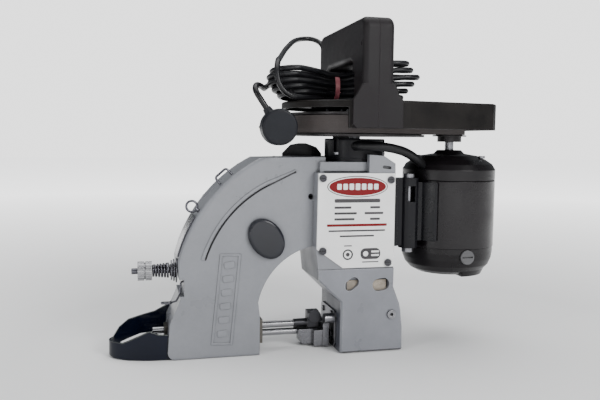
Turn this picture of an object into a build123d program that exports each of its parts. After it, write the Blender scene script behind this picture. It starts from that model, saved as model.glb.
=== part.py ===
from build123d import *
import math
import os

# Hand-held bag closing sewing machine, in millimetres.
# X runs along the front from the nose guard to the motor, +Y is the rear, +Z is up.
# The origin lies on the floor, in the sole of the right foot.

# ---------------------------------------------------------------- driving dimensions
SHAFT_X = -6.0            # vertical main shaft, at Y = 0
SHAFT_R = 5.0
ARCH_HALF = 25.0          # half depth of the leg and the arch
WALL = 5.0                # casting wall
OUTER_CENTRE, OUTER_R = (-34.9, 49.6), 134.6      # outside curve of the arch, in X and Z
INNER_CENTRE, INNER_R = (-38.7, 33.8), 60.5       # inside curve of the throat
OUTER_SPAN = (166.0, 117.5)                       # degrees along the outside curve
INNER_SPAN = (168.4, 99.8)
ARCH_TOP = 170.0
COLUMN_X = (-47.0, 20.0)
COLUMN_FRONT = -36.2      # front face of the column, behind the name plate
COLUMN_TOP = 157.0
DECK_TOP = 166.0
FOOT_X = (-27.5, 29.0)
COVER_FRONT = -37.0       # front face of the looper cover and the name plate
COVER_T = 4.0
COVER_TOP = 74.0
FOOT_DECK = (64.0, 75.0)
SHELF_HALF = 22.0

NEEDLE_Z, PRESSER_Z = 19.6, 12.4
BAR_R = 3.0
RUN = 0.05                # radial clearance of a running fit
NEEDLE_STROKE = 28.0
PRESSER_LIFT = 8.0
LEVER_PIVOT = (-91.6, 100.8)                      # X and Z, axis along Y
LEVER_FOOT_X = -122.0     # needle bar pin, needle fully forward
LEVER_TOP = (-96.1, 134.5)                        # connecting rod pin, needle fully forward
THROW = 4.5               # needle eccentric
LOOPER_PIN = (9.0, 8.0)

PULLEY_R, PULLEY_Z = 58.0, (188.0, 208.0)
MOTOR_X, MOTOR_R = 87.0, 42.5
CLAMP_AT = (37.5, -24.0)
MOTOR_PULLEY_R = 11.6
BELT_Z, BELT_T = (190.6, 205.4), 2.2
GUARD_Z = (194.5, 217.5)
GUARD_R = 66.0
HANDLE_X = (-22.5, 4.0)
HANDLE_Y = (-70.0, 62.0)
HANDLE_TOP = 283.6
GRIP_UNDER = 250.0
TENSION_Y, TENSION_Z = -12.0, 74.0
NOSE_ROOT, NOSE_LONG, NOSE_HALF, NOSE_T = -174.0, 48.0, 23.0, 2.2

CORD_R = 2.5
CORD_EXIT_Z = 274.5
TIE_X = (-27.4, -23.6)
PLUG_AT, PLUG_R, PLUG_HALF = (-84.7, -40.0, 194.7), 15.0, 7.0
PLUG_WAY = (-0.559, 0.0, 0.829)                   # direction in which the cord leaves the plug


# ---------------------------------------------------------------- helpers
def block(x, y, z):
    """Box from three (low, high) pairs."""
    size = [high - low for low, high in (x, y, z)]
    middle = [(low + high) / 2 for low, high in (x, y, z)]
    return Pos(*middle) * Box(*size)


def rod_x(y, z, r, x0, x1):
    return Pos((x0 + x1) / 2, y, z) * Rot(0, 90, 0) * Cylinder(r, x1 - x0)


def rod_y(x, z, r, y0, y1):
    return Pos(x, (y0 + y1) / 2, z) * Rot(90, 0, 0) * Cylinder(r, y1 - y0)


def rod_z(x, y, r, z0, z1):
    return Pos(x, y, (z0 + z1) / 2) * Cylinder(r, z1 - z0)


def slab_y(sketch, y0, y1):
    """Extrude a sketch drawn in X and Z between two Y faces."""
    return extrude(Plane.XZ.offset(-y1) * sketch, y1 - y0)


def slab_x(sketch, x0, x1):
    """Extrude a sketch drawn in Y and Z between two X faces."""
    return extrude(Plane.YZ.offset(x0) * sketch, x1 - x0)


def slab_z(sketch, z0, z1):
    return extrude(Plane.XY.offset(z0) * sketch, z1 - z0)


def polygon(*points):
    return make_face(Polyline(*points, close=True))


def polar(centre, r, degrees):
    a = math.radians(degrees)
    return centre[0] + r * math.cos(a), centre[1] + r * math.sin(a)


def arc(centre, r, start, end):
    return ThreePointArc(polar(centre, r, start), polar(centre, r, (start + end) / 2), polar(centre, r, end))


def revolve_z(x, y, *profile):
    """Turn a profile of (radius, height) points about a vertical axis."""
    return Pos(x, y, 0) * revolve(Plane.XZ * polygon(*profile), Axis.Z)


def screw_y(x, z, y_face, r=1.5, head_r=3.0, head=2.2, length=10.0, outward=-1):
    """Pan head screw with its head on y_face; outward is the Y direction that the head faces."""
    tip = y_face - outward * length
    shank = rod_y(x, z, r, min(tip, y_face), max(tip, y_face))
    crown = y_face + outward * head
    body = shank + rod_y(x, z, head_r, min(crown, y_face), max(crown, y_face))
    slot_y = sorted((crown, crown - outward * 0.9))
    return body - block((x - head_r, x + head_r), slot_y, (z - 0.45, z + 0.45))


def screw_z(x, y, z_face, r=1.5, head_r=3.0, head=2.2, length=10.0, outward=1):
    tip = z_face - outward * length
    crown = z_face + outward * head
    body = rod_z(x, y, r, min(tip, z_face), max(tip, z_face))
    body += rod_z(x, y, head_r, min(crown, z_face), max(crown, z_face))
    slot_z = sorted((crown, crown - outward * 0.9))
    return body - block((x - head_r, x + head_r), (y - 0.45, y + 0.45), slot_z)


def holes_y(points, y0, y1, r=1.5 + RUN):
    return [rod_y(x, z, r, y0, y1) for x, z in points]


# ---------------------------------------------------------------- casting
def arch_outline(inset):
    """Leg and arch seen from the front, drawn in by inset all round except at the column."""
    right = -96.5 - inset
    left_low = -174.0 + inset
    left = [(left_low, 6 + inset), (left_low + 1.5, 30), (-163.5 + inset, 51)]
    outer = arc(OUTER_CENTRE, OUTER_R - inset, *OUTER_SPAN)
    inner = arc(INNER_CENTRE, INNER_R + inset, *INNER_SPAN)
    top = ARCH_TOP - inset
    corner = ThreePointArc((left_low + 6, inset), (left_low + 1.8, inset + 1.8), left[0])
    side = Polyline(*left, outer @ 0)
    roof = Polyline(outer @ 1, (-50, top), (-40, top), (-40, 93.5 + inset), inner @ 1)
    shin = Polyline(inner @ 0, (right, 34), (right, inset), (left_low + 6, inset))
    return make_face(corner + side + outer + roof + inner + shin)


COLUMN_OUTLINE = [(-50.0, COLUMN_TOP), (-50.5, 91.5), (-47.4, 64.3), (FOOT_X[0], 45), (FOOT_X[0], 0),
                  (FOOT_X[1], 0), (28.6, 20.7), (26.2, 42), (19.6, 58.7), (COLUMN_X[1], COLUMN_TOP)]
REAR_SCREWS = [(-169.5, 14), polar(OUTER_CENTRE, OUTER_R - 3.4, 160), polar(OUTER_CENTRE, OUTER_R - 3.4, 141),
               polar(OUTER_CENTRE, OUTER_R - 3.4, 123), (-74, ARCH_TOP - 3.4),
               polar(INNER_CENTRE, INNER_R + 3.4, 160), polar(INNER_CENTRE, INNER_R + 3.4, 125), (-100, 8)]
PLATE_SCREWS = [(-45.5, 152.5), (15.5, 151.0), (-45.0, 90.5), (14.0, 79.0)]
COVER_SCREW = (18.3, 32.9)
THROAT_SCREWS = [(-11.8, 30.0), (14.5, 28.5)]
COVER_SCREWS = REAR_SCREWS + [(17.9, 70), (17.9, 150), (-43, 72)]
STAND_AT = (-47.0, 172.0)
STAND_SCREWS = [(-62, 166.5), (-33, 163.0)]
LIFTER_PIN = (-137.0, 36.0)
HANDLE_SCREWS = [(-16.0, -56.5), (-2.0, -56.5), (-16.0, 50.0), (-2.0, 50.0)]
HANDLE_JOINT_SCREWS = [(-63.5, 262.0), (-63.5, 238.0), (42.0, 238.0)]
HANDLE_SPLIT = (HANDLE_X[0] + HANDLE_X[1]) / 2
GUARD_REAR_SCREWS = [(-1.0, 204.0), (9.0, 204.0)]
CAP_SCREWS = [(MOTOR_X + 22, -22.0), (MOTOR_X - 22, 22.0)]
NECK_SCREWS = [polar((SHAFT_X, 0), 25.2, a) for a in (35, 145, 215, 325)]
BRACKET_SCREWS = [(-18, 104), (-18, 146), (12, 104), (12, 146)]


def rib_path(shift):
    """Line that runs just inside the outer curve of the arch."""
    centre, r = (-44.0, 53.0), 103.5
    bend = arc(centre, r + shift, 163, 116)
    return bend + Line(bend @ 1, (-66, 157.5 + shift * 0.2))


def main_frame():
    arch = slab_y(arch_outline(0), -ARCH_HALF, ARCH_HALF)
    front_rim = arch.faces().sort_by(Axis.Y)[0].edges()
    outer_rim = [e for e in front_rim if e.center().Z > 100 and e.center().X < -42
                 and e.geom_type == GeomType.CIRCLE and e.length > 80]
    arch = fillet(outer_rim, 3.5)
    column = slab_y(polygon(*COLUMN_OUTLINE), COLUMN_FRONT, ARCH_HALF)
    column -= block((-60, 60), (-40, COVER_FRONT + COVER_T), (-1, COVER_TOP))
    deck = block((-46, COLUMN_X[1]), (-30, ARCH_HALF), (COLUMN_TOP - 1, DECK_TOP))
    lug = polygon((-4, 156), (-4, 172.5), (9.4, 171.5), (19.7, 165), (20, 156))
    body = arch + column + deck + slab_y(lug, COLUMN_FRONT, -29.5)
    body -= slab_y(Pos(12, 161.6) * Rot(0, 0, -6) * SlotOverall(8, 2.6), -40, -33)
    # rib and groove round the arch, raised frame with plain bars on the leg
    body += slab_y(trace(rib_path(2.4), 2.6), -ARCH_HALF - 0.8, -ARCH_HALF + 1)
    body -= slab_y(trace(rib_path(0), 1.4), -ARCH_HALF - 2, -ARCH_HALF + 1)
    body += leg_frame()
    # hollow of the arch, the column and the foot
    body -= slab_y(arch_outline(WALL), -ARCH_HALF + WALL, ARCH_HALF + 1)
    body -= block((-43, 16), (-31, ARCH_HALF + 1), (FOOT_DECK[1], 158))
    body -= block((-22, 15.5), (-34, 20), (4, FOOT_DECK[0]))
    # shoulder pin boss for the needle lever, bearing seats, bar guide windows
    body += rod_y(*LEVER_PIVOT, 12, -ARCH_HALF + 4, -14.6)
    body -= rod_y(*LEVER_PIVOT, 6 + RUN, -ARCH_HALF - 1, -14)
    body -= rod_z(SHAFT_X, 0, 11 + RUN, 66, FOOT_DECK[1] + 1) + rod_z(SHAFT_X, 0, 8, 60, 67)
    body -= rod_z(SHAFT_X, 0, 13 + RUN, 159, DECK_TOP + 1) + rod_z(SHAFT_X, 0, 10, 157, 160)
    guide_y, guide_z = (-7.05, 7.05), (7.45, 24.55)
    body -= block((-103, -95), guide_y, guide_z) + block((-176, -167), guide_y, guide_z)
    body -= block((-171, -160.5), (-26, 26), (53.5, 67.8))
    # throat window, oil hole, pads, screw holes
    body -= block((-30, -21), (-17, 17), (5, 26))
    body -= rod_z(*LOOPER_PIN, 3, 1.5, 5)
    body -= rod_y(-16, 9, 2.5, 17, 23.1)
    body -= rod_y(-52.6, 136.0, 2.5, -26, -19)
    body -= rod_x(TENSION_Y, TENSION_Z, 2.5 + RUN, -168, -158)
    for hole in holes_y(COVER_SCREWS + STAND_SCREWS, 14.8, 26) + holes_y(PLATE_SCREWS, -37, -29):
        body -= hole
    body -= rod_y(*COVER_SCREW, 2 + RUN, -35, -22)
    for y, z in THROAT_SCREWS:
        body -= rod_x(y, z, 1.5 + RUN, -28, -21.9)
    for x, y in NECK_SCREWS:
        body -= rod_z(x, y, 1.5 + RUN, 159, 167)
    for y, z in BRACKET_SCREWS:
        body -= rod_x(y, z, 2.5 + RUN, 15, 21)
    return body


def leg_frame():
    """Raised slanting frame on the leg that holds plain bars."""
    outline = polygon((-130.7, 88.6), (-113, 88.1), (-120.4, 10.5), (-138.3, 11.2))
    inside = polygon((-128.9, 86.9), (-115.1, 86.5), (-122.1, 12.3), (-136.4, 12.9))
    border = slab_y(outline, -ARCH_HALF - 0.8, -ARCH_HALF + 1) - slab_y(inside, -ARCH_HALF - 2, -ARCH_HALF)
    for step in range(6):
        z = 20.5 + step * 11.7
        x = -129.4 + (z - 12) * 0.1
        border += slab_y(Pos(x, z) * Rot(0, 0, 5.6) * RectangleRounded(9, 5.5, 1.5), -ARCH_HALF - 0.7, -ARCH_HALF)
    return border


def rear_cover():
    plate = slab_y(arch_outline(1.2), ARCH_HALF, ARCH_HALF + 3)
    plate += block((-45.5, 19.0), (ARCH_HALF, ARCH_HALF + 3), (68, 156))
    plate -= block((-176, -159), (20, 30), (52.5, 69))
    for hole in holes_y(COVER_SCREWS + STAND_SCREWS, 20, 30):
        plate -= hole
    return plate - rod_y(*LIFTER_PIN, 4, 20, 30)


# ---------------------------------------------------------------- foot and throat
def looper_cover():
    outline = [(FOOT_X[0], 0.5), (FOOT_X[1], 0.5), (28.6, 20.7), (26.2, 42), (19.6, 58.7), (19.9, COVER_TOP),
               (-48.2, COVER_TOP), (-47.4, 64.3), (FOOT_X[0], 45)]
    plate = slab_y(polygon(*outline), COVER_FRONT, COVER_FRONT + COVER_T)
    rim = plate.faces().sort_by(Axis.Y)[0].edges()
    low_rim = [e for e in rim if e.center().Z < 60 and e.center().X < 25]
    plate = chamfer(low_rim, 1.6)
    plate -= slab_y(Pos(-18.2, 61) * Rot(0, 0, 38) * SlotOverall(14, 9), -40, -30)
    plate -= slab_y(Pos(8.3, 59.6) * Rot(0, 0, 8) * SlotOverall(15.5, 11), -40, -30)
    plate -= rod_y(*COVER_SCREW, 2 + RUN, -40, -30) + rod_y(*COVER_SCREW, 3.9, -38, -35)
    return plate


def oil_wick_pads():
    pads = [block(x, (-33.0, -27), (52.5, 63.5)) for x in ((-21.5, -9.5), (1.0, 14.5))]
    return pads[0] + pads[1]


def throat_plate():
    plate = block((-28.9, FOOT_X[0]), (-SHELF_HALF, SHELF_HALF), (1.5, 34))
    plate = fillet(plate.edges().filter_by(Axis.X), 4)
    plate -= block((-30, -27), (-14.7, 14.7), (7.4, 13.6))
    plate -= slab_x(Pos(0, NEEDLE_Z) * SlotOverall(9, 4.4), -30, -27)
    plate += rod_x(-19.5, 27.5, 4.4, -38, -28.9)
    for y, z in THROAT_SCREWS:
        plate -= rod_x(y, z, 1.5 + RUN, -30, -27)
    return plate


def bar_guides():
    def guide(body, flange, flange_z):
        piece = block(body, (-7, 7), (7.5, 24.5)) + block(flange, (-9, 9), flange_z)
        for z in (NEEDLE_Z, PRESSER_Z):
            piece -= rod_x(0, z, BAR_R + RUN, -180, -85)
        return piece
    right = guide((-101.5, -96.5), (-96.5, -91), (5.5, 26.5))
    return right + guide((-176, -167), (-167, -164), (8.6, 26.4))


def feed_guide_rod():
    return rod_y(-16, 9, 2.5 - RUN, -32.9, 23)


def feed_dog():
    bar = block((-26.6, -12.5), (-10, 10), (6.2, 12.8))
    bar -= rod_y(-16, 9, 2.5, -12, 12)
    for step in range(7):
        y = -9 + step * 3
        tooth = polygon((-26.2, y - 1.4), (-26.2, y + 1.4), (-29.7, y + 1.2), (-28.9, y - 1.4))
        bar += slab_z(tooth, 8, 12.8)
    return bar


def looper_pin():
    return rod_z(*LOOPER_PIN, 3 - RUN, 1.5, 49)


def looper():
    x, y = LOOPER_PIN
    hub = rod_z(x, y, 5.4, 8, 48) - rod_z(x, y, 3, 7, 50)
    blade = polygon((x, y + 4.5), (x - 1, y - 4), (-10, 2.6), (-17.5, 2.4), (-17, 4.4), (-10, 6.2))
    arm = slab_z(blade, 17.6, 21.6) - rod_z(x, y, 3, 15, 25)
    horn = slab_z(polygon((x - 5, y), (x + 5, y + 1), (10.4, 15), (4.2, 15.6)), 42, 47)
    horn -= rod_z(x, y, 3, 40, 50)
    return hub + arm + horn + rod_z(7.0, 13.5, 2.4, 47, 59)


# ---------------------------------------------------------------- main shaft and needle drive
def main_shaft():
    shaft = rod_z(SHAFT_X, 0, SHAFT_R - RUN, 47, 211)
    return chamfer(shaft.edges().filter_by(GeomType.CIRCLE), 0.6)


def bearing(x, y, z0, z1, bore, outside):
    ring = rod_z(x, y, outside, z0, z1) - rod_z(x, y, bore, z0 - 1, z1 + 1)
    for z, way in ((z0, 1), (z1, -1)):
        low, high = sorted((z - way, z + way * 0.8))
        ring -= rod_z(x, y, outside * 0.86, low, high) - rod_z(x, y, bore + 1.4, low, high)
    return ring


def looper_cam():
    cam = Pos(SHAFT_X - 1.5, 0, 55.5) * Cylinder(12.6, 11)
    cam = fillet(cam.edges().filter_by(GeomType.CIRCLE), 1.0)
    return cam - rod_z(SHAFT_X, 0, SHAFT_R, 45, 65)


def needle_eccentric():
    disc = rod_z(SHAFT_X - THROW, 0, 11, 130, 139)
    flange = rod_z(SHAFT_X - THROW, 0, 12.6, 127.6, 129.6) + rod_z(SHAFT_X, 0, 8.5, 118, 127.6)
    flange += rod_z(SHAFT_X - THROW, 0, 11, 129, 131)
    return disc + flange - rod_z(SHAFT_X, 0, SHAFT_R, 110, 145)


def eccentric_strap():
    x = SHAFT_X - THROW
    ring = rod_z(x, 0, 15, 130, 139) + block((-41.5, x - 12), (-4, 4), (132.3, 136.6))
    ring += block((x - 6, x + 6), (-16.2, -13), (131.5, 137.5))
    return ring - rod_z(x, 0, 11 + RUN, 125, 145)


def connecting_rod():
    x, z = LEVER_TOP
    eye = rod_y(x, z, 7, -5, 4.6)
    shank = block((x + 5, -58), (-3.2, 3.2), (z - 3.2, z + 3.2))
    fork = block((-60, -36.5), (-5, 5), (129.2, 139.8)) - block((-51.5, -30), (-8, 8), (131.5, 137.4))
    return eye + shank + fork - rod_y(x, z, 4 + RUN, -10, 10)


def needle_lever():
    px, pz = LEVER_PIVOT
    hub = rod_y(px, pz, 11, -14.3, 14)
    foot = Vector(LEVER_FOOT_X - px, 0, NEEDLE_Z - pz)
    lean = math.degrees(math.atan2(-foot.X, -foot.Z))
    lower = Pos(px, 0, pz) * Rot(0, lean, 0) * (
        block((-6, 6), (7.4, 13.6), (-78, 0)) + block((-7.8, 7.8), (7.4, 13.6), (-98.5, -72)))
    slot = Pos(px, 0, pz) * Rot(0, lean, 0) * block((-5.1, 5.1), (0, 20), (-106, -78))
    upper = slab_y(polygon((px - 9, pz), (px + 8, pz), (LEVER_TOP[0] + 6, LEVER_TOP[1]),
                           (LEVER_TOP[0] - 6, LEVER_TOP[1])), 5.2, 12) + rod_y(*LEVER_TOP, 6, 5.2, 12)
    lever = hub + lower + upper + rod_y(*LEVER_TOP, 4, -6, 6) + rod_y(*LEVER_TOP, 6, -7.6, -5.4)
    lever -= slot
    return lever - rod_y(px, pz, 6 + RUN, -20, 20)


def lever_pin():
    return rod_y(*LEVER_PIVOT, 6, -24.8, 14.3) + rod_y(*LEVER_PIVOT, 9, 14.3, 17)


def needle_bar():
    bar = rod_x(0, NEEDLE_Z, BAR_R, -186, -47)
    return chamfer(bar.edges().filter_by(GeomType.CIRCLE), 0.5)


def needle_bar_driver():
    x = LEVER_FOOT_X
    body = block((x - 6, x + 6), (-5.5, 6.6), (16.2, 26.5)) + rod_y(x, NEEDLE_Z, 4, 6, 14.2)
    return body - rod_x(0, NEEDLE_Z, BAR_R + RUN, x - 8, x + 8)


def needle_clamp():
    collar = rod_x(0, NEEDLE_Z, 3.9, -61, -49) + block((-49, -38.5), (-4, 4), (15.8, 31))
    collar = collar - rod_x(0, NEEDLE_Z, BAR_R + RUN, -62, -47)
    collar -= rod_x(0, NEEDLE_Z, 1.1, -48, -37)
    return collar - rod_y(-43.6, 27.4, 1.6, -3.9, 5)


def clamp_screw():
    head = rod_y(-43.6, 27.4, 5.6, -10, -4)
    for step in range(18):
        x, z = polar((-43.6, 27.4), 5.75, step * 20)
        head -= rod_y(x, z, 0.35, -11, -3)
    screw = head + rod_y(-43.6, 27.4, 1.6 - RUN, -4, 3.5)
    return screw


def needle():
    shank = rod_x(0, NEEDLE_Z, 1.0, -47, -18)
    tip = Pos(-16, 0, NEEDLE_Z) * Rot(0, 90, 0) * Cone(1.0, 0.15, 4)
    eye = rod_y(-20.5, NEEDLE_Z, 0.45, -2, 2)
    return shank + tip - eye


def presser_bar():
    bar = rod_x(0, PRESSER_Z, BAR_R, -184, -47)
    return chamfer(bar.edges().filter_by(GeomType.CIRCLE), 0.5)


def presser_foot():
    hub = slab_y(polygon((-58, 10), (-56, 8.4), (-56, 3.5), (-53, 2), (-40, 2), (-40, 15.3), (-58, 15.3)), -8, 8)
    foot = hub + block((-45, -37), (-13, 13), (0.8, 15.3))
    sole = block((-37, -31.5), (-14, 14), (0.8, 21.4))
    for step in range(7):
        y = -11.4 + step * 3.8
        sole -= block((-32.3, -31), (y - 0.8, y + 0.8), (0, 14))
    foot += sole
    foot -= block((-60, -30), (-5.2, 5.2), (15.35, 30))
    return foot - rod_x(0, PRESSER_Z, BAR_R + RUN, -60, -46.9)


def presser_collar():
    ring = block((-151, -145), (-5.2, 5.2), (7.6, 16.0)) - rod_x(0, PRESSER_Z, BAR_R + RUN, -155, -140)
    return ring + block((-150, -146), (5.2, 19.6), (8.5, 14.5))


def presser_spring():
    return rod_x(0, PRESSER_Z, 3.9, -163.8, -151.1) - rod_x(0, PRESSER_Z, 3.2, -170, -140)


def presser_lifter():
    """Thumb lever on the rear cover; its finger pushes the collar of the presser bar."""
    x, z = LIFTER_PIN
    pin = rod_y(x, z, 4 - RUN, 15.2, 34)
    finger = slab_y(polygon((x - 4, z), (x + 4, z), (x - 3.2, 9.5), (x - 7.4, 9.5)), 15.2, 20)
    thumb = slab_y(polygon((x - 5, z + 4), (x + 6, z), (x + 30, z - 9), (x + 30, z - 14), (x - 2, z - 6)), 29, 34)
    return pin + rod_y(x, z, 6.5, 15.2, 20) + rod_y(x, z, 7.5, 29, 34) + finger + thumb


# ---------------------------------------------------------------- fittings on the front and the rim
def access_cap():
    x, z = LEVER_PIVOT
    oval = Pos(x, z) * Rot(0, 0, 35) * Ellipse(14, 18.6)
    cap = slab_y(oval, -30.5, -ARCH_HALF)
    cap = fillet(cap.faces().sort_by(Axis.Y)[0].edges(), 2.4)
    return cap


def name_plate():
    plate = slab_y(polygon((-49.4, 156.6), (-50.2, 92), (-26.8, 75.2), (19.6, 75.2), (19.6, 156.6)),
                   COVER_FRONT, COLUMN_FRONT)
    for hole in holes_y(PLATE_SCREWS, -40, -30):
        plate -= hole
    return plate


def thread_channel():
    """Thin strip with a wire that guides the thread down the outer edge of the arch."""
    strip = make_face(arc(OUTER_CENTRE, OUTER_R + 1.4, 164.5, 149) + Line(
        polar(OUTER_CENTRE, OUTER_R + 1.4, 149), polar(OUTER_CENTRE, OUTER_R, 149)) + arc(
        OUTER_CENTRE, OUTER_R, 149, 164.5) + Line(
        polar(OUTER_CENTRE, OUTER_R, 164.5), polar(OUTER_CENTRE, OUTER_R + 1.4, 164.5)))
    return slab_y(strip, -17, 12)


def thread_guides():
    """Wire staple and ring eyelet on the rim of the arch."""
    feet = [polar(OUTER_CENTRE, OUTER_R - 3, a) for a in (134.4, 128.6)]
    tops = [polar(OUTER_CENTRE, OUTER_R + 7.5, a) for a in (134.0, 129.0)]
    path = FilletPolyline(*[(x, -14, z) for x, z in (feet[0], tops[0], tops[1], feet[1])], radius=2.2)
    staple = sweep(Plane(path @ 0, z_dir=path % 0) * Circle(1.0), path=path)
    foot, neck = (polar(OUTER_CENTRE, r, 146.5) for r in (OUTER_R - 3, OUTER_R + 3.5))
    stem_path = Line((foot[0], -14, foot[1]), (neck[0], -14, neck[1]))
    stem = sweep(Plane(stem_path @ 0, z_dir=stem_path % 0) * Circle(1.6), path=stem_path)
    eye_x, eye_z = polar(OUTER_CENTRE, OUTER_R + 7.2, 146.5)
    ring = Pos(eye_x, -14, eye_z) * Rot(90, 0, 0) * Torus(4.6, 1.0)
    return staple + (stem + ring)


def tension_stud():
    stud = rod_x(TENSION_Y, TENSION_Z, 2.5, -203, -159)
    return chamfer(stud.edges().filter_by(GeomType.CIRCLE), 0.5)


def tension_discs():
    group = None
    for step, r in enumerate((10.5, 9.4, 8.4)):
        x1 = -165.8 - step * 2.0
        disc = rod_x(TENSION_Y, TENSION_Z, r, x1 - 0.9, x1) + rod_x(TENSION_Y, TENSION_Z, r * 0.6, x1 - 1.8, x1 - 0.8)
        disc -= rod_x(TENSION_Y, TENSION_Z, 2.5 + RUN, -180, -160)
        group = disc if group is None else group + disc
    return group


def tension_spring():
    shell = Pos(-179.0, TENSION_Y, TENSION_Z) * Rot(0, 90, 0) * (Cone(4.4, 6.4, 14) - Cone(3.2, 5.2, 14.1))
    return shell


def tension_nut():
    nut = rod_x(TENSION_Y, TENSION_Z, 8, -198, -186.2)
    for step in range(24):
        y, z = polar((TENSION_Y, TENSION_Z), 8.2, step * 15)
        nut -= rod_x(y, z, 0.5, -200, -180)
    nut -= rod_x(TENSION_Y, TENSION_Z, 9, -192.6, -191.4) - rod_x(TENSION_Y, TENSION_Z, 7, -195, -190)
    return nut - rod_x(TENSION_Y, TENSION_Z, 2.5 + RUN, -200, -180)


def thread_eyelet_wire():
    """Wire that drops from the tension discs and ends in a slotted eye."""
    y = TENSION_Y - 5
    path = FilletPolyline((-158.5, y, 66), (-162.8, y, 64), (-163.4, y - 1, 55), (-166.6, y - 1, 48.6),
                          (-171, y - 1, 47.4), radius=2.2)
    wire = sweep(Plane(path @ 0, z_dir=path % 0) * Circle(0.8), path=path)
    eye = slab_z(Pos(-174.8, y - 1) * (SlotOverall(9, 4.6) - SlotOverall(6, 1.8)), 46.6, 48.2)
    return wire + eye


def nose_guard():
    """Bent sheet loop round the rear ends of the bars, low in front and raised behind."""
    outside, inside = Ellipse(NOSE_LONG, NOSE_HALF), Ellipse(NOSE_LONG - NOSE_T, NOSE_HALF - NOSE_T)
    arms_y = NOSE_HALF - NOSE_T / 2
    wall = slab_z(Pos(NOSE_ROOT, 0) * (outside - inside), 0, 50) & block((-230, NOSE_ROOT), (-30, 30), (0, 50))
    for way in (-1, 1):
        y = sorted((way * (arms_y - NOSE_T / 2), way * (arms_y + NOSE_T / 2)))
        wall += block((NOSE_ROOT, -150), y, (0, 50))
    front = [(-224, 2.5), (-218, 0.4), (-211, 0), (-150, 0), (-150, 20), (-181, 21.5), (-189, 24.5), (-197, 20.7),
             (-210.5, 14), (-224, 14)]
    back = [(-224, 2.5), (-218, 3.2), (-212, 8), (-196, 12.5), (-177, 13.5), (-150, 14), (-150, 43), (-165, 43),
            (-172, 37), (-183, 31.5), (-206, 26.5), (-214, 21), (-219, 14), (-224, 14)]
    loop = (wall & slab_y(polygon(*front), -30, 0)) + (wall & slab_y(polygon(*back), 0, 30))
    solid_leg = slab_y(arch_outline(0), -ARCH_HALF, ARCH_HALF)
    return loop - solid_leg


def thread_stand_bracket():
    """Plate behind the arch with a rearward socket for the rod of a thread cone stand."""
    plate = slab_y(polygon((-66, 160), (-66, 172), (-58, 180), (-50, 181.5), (-44, 181.5), (-34, 178), (-29, 172),
                           (-29, 160)), ARCH_HALF + 3, ARCH_HALF + 7)
    x, z = STAND_AT
    plate += rod_y(x, z, 8, ARCH_HALF + 7, ARCH_HALF + 23)
    for hole in holes_y(STAND_SCREWS, 20, 40):
        plate -= hole
    return plate - rod_y(x, z, 4.0, ARCH_HALF + 8, ARCH_HALF + 24)


# ---------------------------------------------------------------- neck, pulleys, belt
def handle_bracket():
    """Plate under the neck that rises behind the guard and carries the handle."""
    plate = slab_z(Pos(SHAFT_X, 0) * Circle(28), DECK_TOP, DECK_TOP + 3)
    plate += block((-18, 15), (0, GUARD_R + 3), (DECK_TOP, DECK_TOP + 3))
    plate += block((-6, 14), (GUARD_R, GUARD_R + 3), (DECK_TOP, 214))
    for x, z in GUARD_REAR_SCREWS:
        plate -= rod_y(x, z, 1.5 + RUN, 60, 75)
    plate -= rod_z(SHAFT_X, 0, 12, 160, 172)
    for x, y in NECK_SCREWS:
        plate -= rod_z(x, y, 1.5 + RUN, 160, 172)
    return plate - block((-8, 40), (-40, -26.5), (160, 173))


def neck_housing():
    z0 = DECK_TOP + 3
    shell = rod_z(SHAFT_X, 0, 27, z0, 186) - rod_z(SHAFT_X, 0, 12, z0 - 1, 187)
    shell = fillet(shell.edges().filter_by(GeomType.CIRCLE).group_by(Axis.Z)[-1], 1.2)
    for x, y in NECK_SCREWS:
        shell -= rod_z(x, y, 3.1, z0 + 3, 190) + rod_z(x, y, 1.5 + RUN, z0 - 1, z0 + 4)
    return shell


def drive_pulley():
    z0, z1 = PULLEY_Z
    wheel = revolve_z(SHAFT_X, 0, (SHAFT_R, z0), (16, z0), (16, z0 + 3), (50, z0 + 3), (50, z0), (62, z0),
                      (62, z0 + 1.8), (PULLEY_R, z0 + 2.2), (PULLEY_R, z1 - 2.2), (62, z1 - 1.8), (62, z1),
                      (50, z1), (50, z0 + 8), (14, z0 + 8), (14, z1), (SHAFT_R, z1))
    for step in range(5):
        x, y = polar((SHAFT_X, 0), 33, step * 72 + 18)
        wheel -= rod_z(x, y, 9, z0 - 1, z1)
    for step in range(60):
        x, y = polar((SHAFT_X, 0), PULLEY_R + 0.25, step * 6)
        wheel -= rod_z(x, y, 0.9, z0 + 2.6, z1 - 2.6)
    return wheel


def shaft_nut():
    nut = slab_z(Pos(SHAFT_X, 0) * RegularPolygon(8, 6), PULLEY_Z[1], 213)
    return chamfer(nut.edges().filter_by(Axis.Z, reverse=True), 0.6) - rod_z(SHAFT_X, 0, SHAFT_R, 200, 220)


def belt_outline(big, small):
    """Loop round two circles on the shaft and motor axes, joined by their tangents."""
    span = MOTOR_X - SHAFT_X
    lean = math.degrees(math.asin((big - small) / span))
    tilt = 90 - lean
    big_arc = arc((SHAFT_X, 0), big, tilt, 360 - tilt)
    small_arc = arc((MOTOR_X, 0), small, -tilt, tilt)
    return make_face(big_arc + Line(big_arc @ 1, small_arc @ 0) + small_arc + Line(small_arc @ 1, big_arc @ 0))


def drive_belt():
    gap = 0.35
    outside = belt_outline(PULLEY_R + gap + BELT_T, MOTOR_PULLEY_R + gap + BELT_T)
    inside = belt_outline(PULLEY_R + gap, MOTOR_PULLEY_R + gap)
    return slab_z(outside - inside, *BELT_Z)


def guard_outline(inset):
    r = GUARD_R - inset
    left = arc((SHAFT_X, 0), r, 90, 270)
    end = 110.0 - inset
    right = Polyline(left @ 1, (20, -r), (104, -50 + inset), (end, -43), (end, 43), (104, 50 - inset), (20, r), left @ 0)
    return make_face(left + right)


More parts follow.
